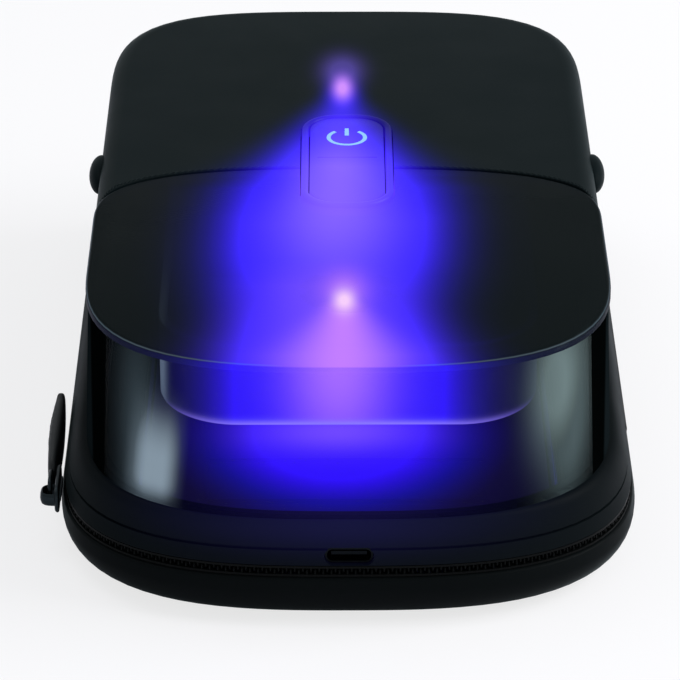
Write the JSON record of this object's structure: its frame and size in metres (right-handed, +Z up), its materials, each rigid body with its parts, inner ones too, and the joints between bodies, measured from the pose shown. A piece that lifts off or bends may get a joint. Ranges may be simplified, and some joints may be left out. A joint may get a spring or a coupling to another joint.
{
  "type": "uv sanitizer box for phones",
  "caption": "Zippered clamshell case with a mirror-lined tray for a phone, lamps and a power button in its tall half see-through lid.",
  "frame": {"origin": "the middle of the flat underside that the case rests on", "axes": "+Z up through the lid, +Y from the front with the charging socket to the rear, +X to the side with the fabric hinge"},
  "size_m": [0.1145, 0.1816, 0.0535],
  "materials": {
    "tub_skin": "matt charcoal soft-touch moulding with a fine grain",
    "soft_touch": "charcoal soft-touch coating, satin on its rounded edges",
    "mirror_foil": "vacuum-metallised reflector sheet",
    "polished_trim": "bright polished rim that catches the lamps",
    "dark_mat": "dark glossy mat with low ribs",
    "smoked_panel": "smoked translucent panel, satin top",
    "clear_hood": "glossy grey-tinted clear wall",
    "zipper_nylon": "black nylon coil, slightly glossy",
    "woven_tape": "black woven polyester tape",
    "black_metal": "die-cast zinc, black nickel",
    "steel": "plain bright steel",
    "pull_rubber": "matt overmoulded rubber with grip ribs",
    "button_plastic": "dark blue-grey satin moulding",
    "light_guide": "pale blue lit light guide",
    "clear_housing": "clear moulding that glows violet from its lamp",
    "housing_plastic": "dark grey moulded ABS",
    "lamp_board": "aluminium-core lamp board",
    "lamp_glass": "lamp package with a clear domed lens",
    "board_laminate": "green laminate",
    "amber_film": "amber film lead",
    "pale_plastic": "pale moulded connector",
    "cell_foil": "laminated foil pouch",
    "switch_plastic": "black moulding",
    "magnet_nickel": "nickel-plated magnet"
  },
  "bodies": {
    "base": {"tub_shell": "tub_skin", "mirror_liner": "mirror_foil", "phone_cradle": "polished_trim", "tray_mat": "dark_mat", "closure_magnet": "magnet_nickel", "lower_zipper_tape": "woven_tape", "lower_zipper_chain": "zipper_nylon", "zipper_stop_rear": "black_metal", "zipper_stop_front": "black_metal", "hinge_spine": "woven_tape"},
    "lid": {"rim_frame": "soft_touch", "rear_cover": "soft_touch", "top_panel": "smoked_panel", "front_hood": "clear_hood", "panel_bead_right": "soft_touch", "panel_bead_left": "soft_touch", "upper_zipper_tape": "woven_tape", "upper_zipper_chain": "zipper_nylon", "button_bezel": "button_plastic", "rear_housing": "housing_plastic", "front_housing": "clear_housing", "rear_lamp_star": "lamp_board", "front_lamp_star": "lamp_board", "rear_lamp": "lamp_glass", "front_lamp": "lamp_glass", "rear_lamp_flex": "amber_film", "front_lamp_flex": "amber_film", "rear_connector": "pale_plastic", "front_connector": "pale_plastic", "main_board": "board_laminate", "tact_switch": "switch_plastic", "battery_cell": "cell_foil", "board_screw_1": "steel", "board_screw_2": "steel", "board_screw_3": "steel", "board_screw_4": "steel", "charging_socket": "steel", "port_board": "board_laminate", "port_cover": "housing_plastic", "closure_sensor": "switch_plastic"},
    "power_button": {"power_cap": "button_plastic", "power_symbol": "light_guide"},
    "slider": {"zipper_slider": "black_metal"},
    "pull": {"pull_link": "black_metal", "pull_tab": "pull_rubber"}
  },
  "joints": [
    {"name": "lid_hinge", "type": "hinge", "parent": "base", "child": "lid", "pos_m": [0.0555, 0, 0.011], "axis": [0, 1, 0], "range_deg": [0, 110]},
    {"name": "button_press", "type": "slide", "parent": "lid", "child": "power_button", "axis": [0, 0, -1], "range_m": [0, 0.0006], "stiffness_N_per_m": 1500, "springref_m": -0.0005},
    {"name": "slider_travel", "type": "slide", "parent": "base", "child": "slider", "axis": [0, 1, 0], "range_m": [0, 0.098]},
    {"name": "pull_swing", "type": "hinge", "parent": "slider", "child": "pull", "pos_m": [-0.0571, -0.0597, 0.011], "axis": [0, 0, 1], "range_deg": [0, 180]}
  ]
}
